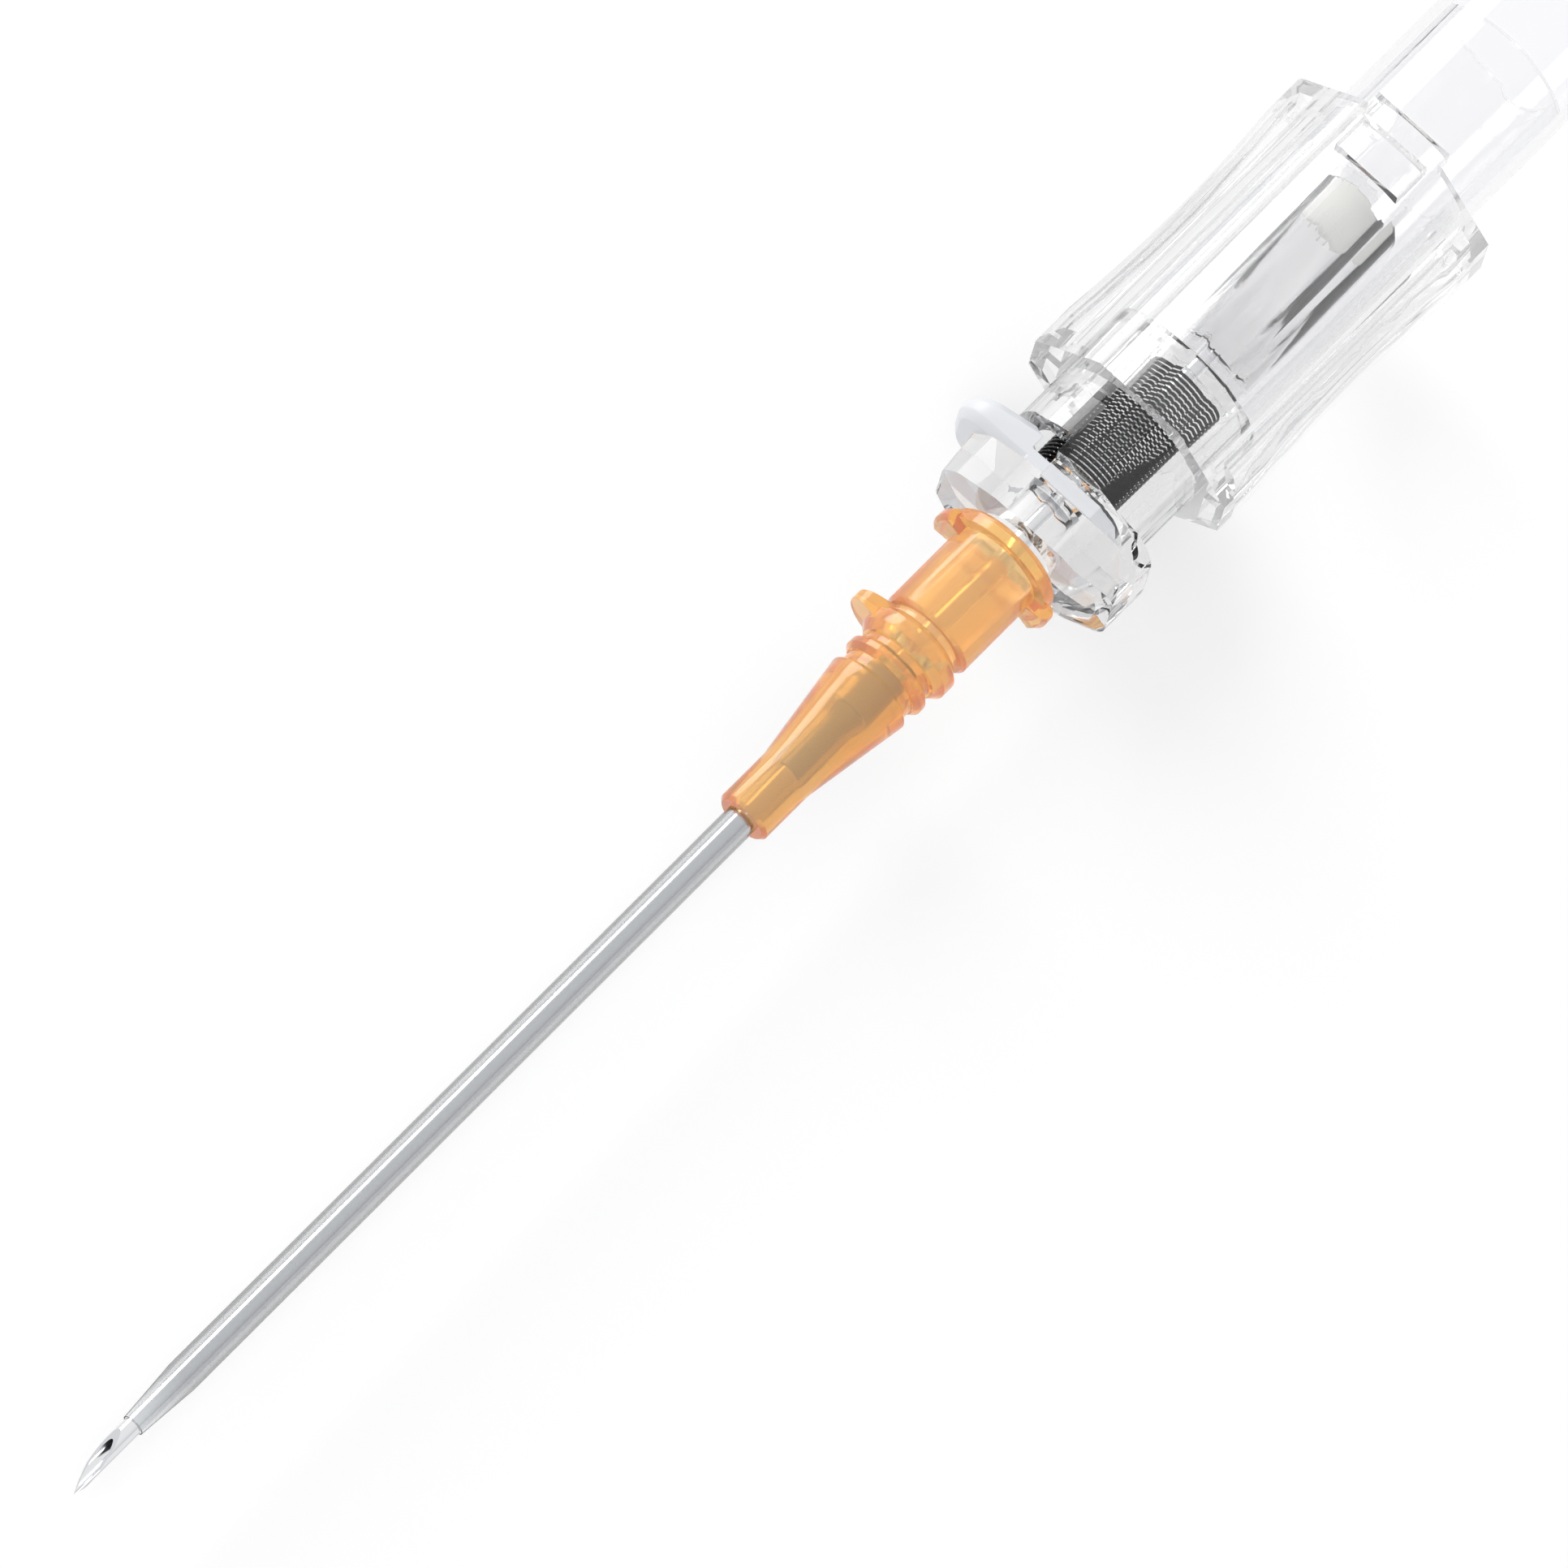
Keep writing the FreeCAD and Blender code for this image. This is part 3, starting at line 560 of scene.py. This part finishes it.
@dataclass
class Housing(Assembly):
    """The clear housing: nose moulding, winged grip and barrel.

    Attributes:
        rounding_mm: The mould's rounding along its edges.
        notch_floor_mm: The height of the saddle's floor over the axis.
        notch_room_mm: The room in front of the thumb pad and behind it.
    """

    rounding_mm: float = 0.15
    notch_floor_mm: float = 1.15
    notch_room_mm: float = 0.1

    def build(self) -> None:
        """Make the three pieces."""
        nose = self.saddled(solid_copy("nose_housing"))
        for mesh, node, name, finish in (
                (nose, "nose_housing", "nose_moulding", CLEAR_HOUSING),
                (solid_copy("finger_grip"), "finger_grip", "winged_grip", CLEAR_GRIP),
                (solid_copy("barrel_tube"), "barrel_tube", "barrel_clear", CLEAR_BARREL)):
            piece = placed(mesh, name, finish, Body.HOUSING, node, rounding_mm=self.rounding_mm)
            let_light_through(piece)

    def saddled(self, moulding: bmesh.types.BMesh) -> bmesh.types.BMesh:
        """Cut the block's shoulders down beside the thumb pad.

        Args:
            moulding: The nose moulding's mesh, which is freed.

        Returns:
            The cut mesh.
        """
        pad_low, pad_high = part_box("release_button")
        room = Vector((self.notch_room_mm * MM, 0.0, 0.0))
        # The saw passes the block on both sides and above, by the pad's own height.
        low = Vector((pad_low.x, self.notch_floor_mm * MM, -pad_high.y)) - room
        high = Vector((pad_high.x, 2 * pad_high.y, pad_high.y)) + room
        saw = bmesh.new()
        bmesh.ops.create_cube(saw, size=1.0,
                              matrix=Matrix.LocRotScale((low + high) / 2, None, high - low))
        block, cutter = (new_object(name, mesh_data(mesh, name))
                         for mesh, name in ((moulding, "block"), (saw, "saddle")))
        cut = block.modifiers.new("saddle", "BOOLEAN")
        cut.operation, cut.solver, cut.object = "DIFFERENCE", "EXACT", cutter
        mesh = bmesh.new()
        mesh.from_object(block, bpy.context.evaluated_depsgraph_get())
        for item in (block, cutter):
            bpy.data.meshes.remove(item.data)
        weld(mesh)
        return mesh


@dataclass
class Button(Assembly):
    """The white release button.

    Attributes:
        rounding_mm: The mould's rounding along its edges.
    """

    rounding_mm: float = 0.18

    def build(self) -> None:
        """Make the button."""
        placed(solid_copy("release_button"), "thumb_button", WHITE_BUTTON, Body.BUTTON,
               "release_button", rounding_mm=self.rounding_mm)


@dataclass(frozen=True)
class Softbox:
    """A round soft lamp that faces the object.

    Attributes:
        name: The lamp's name.
        place: Where it hangs, in metres.
        size: Its diameter, in metres.
        watts: Its power.
    """

    name: str
    place: tuple[float, float, float]
    size: float
    watts: float

    def hang(self) -> None:
        """Put the lamp in the scene, turned to the origin."""
        light = bpy.data.lights.new(self.name, "AREA")
        light.shape, light.size, light.energy = "DISK", self.size, self.watts
        lamp = new_object(self.name, light)
        lamp.location = self.place
        lamp.rotation_mode = "QUATERNION"
        lamp.rotation_quaternion = Vector(self.place).to_track_quat("Z", "Y")


# A large key on the button's side and a smaller fill above.
SOFTBOXES = (Softbox("key", (0.29, 0.73, 0.32), size=0.5, watts=2.9),
             Softbox("fill", (-0.4, -0.1, 0.8), size=0.4, watts=0.9))


@dataclass
class Studio(Assembly):
    """The pale floor, the soft lights and the camera.

    Attributes:
        tilt: How far the needle points towards the camera, in degrees.
        lean: How far the camera leans towards -Y, in degrees.
        turn: The axis's slope across the picture, in degrees.
        frame_mm: The width that the picture spans at the object.
        aim_along_mm: The point on the axis at the picture's middle.
        aim_across_mm: How far the middle lies beside the axis.
        lens_mm: The long lens, which keeps the view nearly parallel.
        clip_shares: The nearest and farthest that is drawn, as shares of the camera's distance.
        clear_walls: The number of clear walls that light may pass on its way.
        floor_m: Half the floor's width.
        floor_colour: The floor's colour as sRGB hex.
        floor_lift: The light of its own that keeps the seen floor white.
        horizon: The room's colour level with the object.
        low_sky: Where the room turns paler, and its colour there.
        white_from: The height from which the room is white, from 0 to 1.
        room_level: The room's share of light on rays that aren't seen.
    """

    tilt: float = 20.0
    lean: float = 10.0
    turn: float = 44.9
    frame_mm: float = 78.86
    aim_along_mm: float = -17.11
    aim_across_mm: float = -0.255
    lens_mm: float = 1500.0
    clip_shares: tuple[float, float] = (0.1, 10.0)
    clear_walls: int = 32
    floor_m: float = 3.0
    floor_colour: str = "#F2F2F2"
    floor_lift: float = 0.2
    horizon: Colour = (0.72, 0.72, 0.73, 1.0)
    low_sky: tuple[float, Colour] = (0.35, (0.88, 0.88, 0.89, 1.0))
    white_from: float = 0.75
    room_level: float = 0.72

    def build(self) -> None:
        """Set up the stage."""
        self.camera()
        self.floor()
        self.world()
        for softbox in SOFTBOXES:
            softbox.hang()
        scene = bpy.context.scene
        scene.view_settings.view_transform = "Standard"
        scene.cycles.max_bounces = self.clear_walls
        scene.cycles.transmission_bounces = self.clear_walls
        scene.cycles.glossy_bounces = self.clear_walls

    def camera(self) -> None:
        """Place the long-lens camera at the photograph's angle."""
        tilt, lean, turn = (math.radians(angle) for angle in (self.tilt, self.lean, self.turn))
        back = Vector((-math.sin(tilt), -math.sin(lean) * math.cos(tilt),
                       math.cos(lean) * math.cos(tilt)))
        along = (AXIS - back * AXIS.dot(back)).normalized()
        across = back.cross(along)
        right = along * math.cos(turn) - across * math.sin(turn)
        up = along * math.sin(turn) + across * math.cos(turn)
        data = bpy.data.cameras.new("long_lens")
        data.lens = self.lens_mm
        distance = self.frame_mm * MM * data.lens / data.sensor_width
        data.clip_start, data.clip_end = (distance * share for share in self.clip_shares)
        camera = new_object("camera", data)
        place = Matrix((right, up, back)).transposed().to_4x4()
        aim = AXIS * (self.aim_along_mm * MM) + across * (self.aim_across_mm * MM)
        place.translation = aim + back * distance
        camera.matrix_world = place
        bpy.context.scene.camera = camera

    def floor(self) -> None:
        """Lay the white floor under the grip."""
        mesh = bmesh.new()
        bmesh.ops.create_grid(mesh, x_segments=1, y_segments=1, size=self.floor_m)
        bmesh.ops.translate(mesh, verts=mesh.verts, vec=(0, 0, CAD_BOX[0].z))
        data = mesh_data(mesh, "floor")
        floor = new_object("floor", data)
        material, tree, output = new_material("White matte table")
        lift = add_node(tree, "ShaderNodeMath", {0: seen_rays(tree)}, {1: self.floor_lift},
                        operation="MULTIPLY")
        shader = add_node(tree, "ShaderNodeBsdfPrincipled",
                          {"Emission Strength": lift.outputs[0]},
                          {"Base Color": linear(self.floor_colour), "Roughness": 1.0,
                           "Specular IOR Level": 0.0, "Emission Color": WHITE})
        tree.links.new(shader.outputs["BSDF"], output.inputs["Surface"])
        data.materials.append(material)

    def world(self) -> None:
        """Show plain white behind the object, and light it from the room."""
        world = bpy.data.worlds.new("studio")
        bpy.context.scene.world = world
        world.use_nodes = True
        tree = world.node_tree
        tree.nodes.clear()
        level = add_node(tree, "ShaderNodeMapRange", {"Value": seen_rays(tree)},
                         {"To Min": self.room_level, "To Max": 1.0})
        room = add_node(tree, "ShaderNodeBackground",
                        {"Color": self.room_colour(tree), "Strength": level.outputs[0]})
        plain = add_node(tree, "ShaderNodeBackground", None, {"Color": WHITE, "Strength": 1.0})
        path = add_node(tree, "ShaderNodeLightPath")
        mix = add_node(tree, "ShaderNodeMixShader",
                       {"Fac": path.outputs["Is Camera Ray"], 1: room.outputs[0],
                        2: plain.outputs[0]})
        add_node(tree, "ShaderNodeOutputWorld", {"Surface": mix.outputs[0]})

    def room_colour(self, tree: bpy.types.NodeTree) -> bpy.types.NodeSocket:
        """Colour the room: white above and darker near the horizon.

        Args:
            tree: The world's node tree.

        Returns:
            The socket with the colour.
        """
        place = add_node(tree, "ShaderNodeTexCoord")
        parts = add_node(tree, "ShaderNodeSeparateXYZ", {0: place.outputs["Generated"]})
        height = add_node(tree, "ShaderNodeValToRGB", {"Fac": parts.outputs["Z"]})
        ramp = height.color_ramp
        ramp.elements[0].position, ramp.elements[0].color = 0.0, self.horizon
        ramp.elements[1].position, ramp.elements[1].color = self.white_from, WHITE
        low_height, low_colour = self.low_sky
        ramp.elements.new(low_height).color = low_colour
        return height.outputs["Color"]


def main() -> None:
    """Build the pieces, the stage and the camera."""
    logging.basicConfig(level=logging.INFO, format="%(message)s")
    for part in (Catheter(), Carriage(), Spring(), Housing(), Button(), Studio()):
        part.build()
        LOG.info("%s is done", type(part).__name__)


if __name__ == "__main__":
    main()
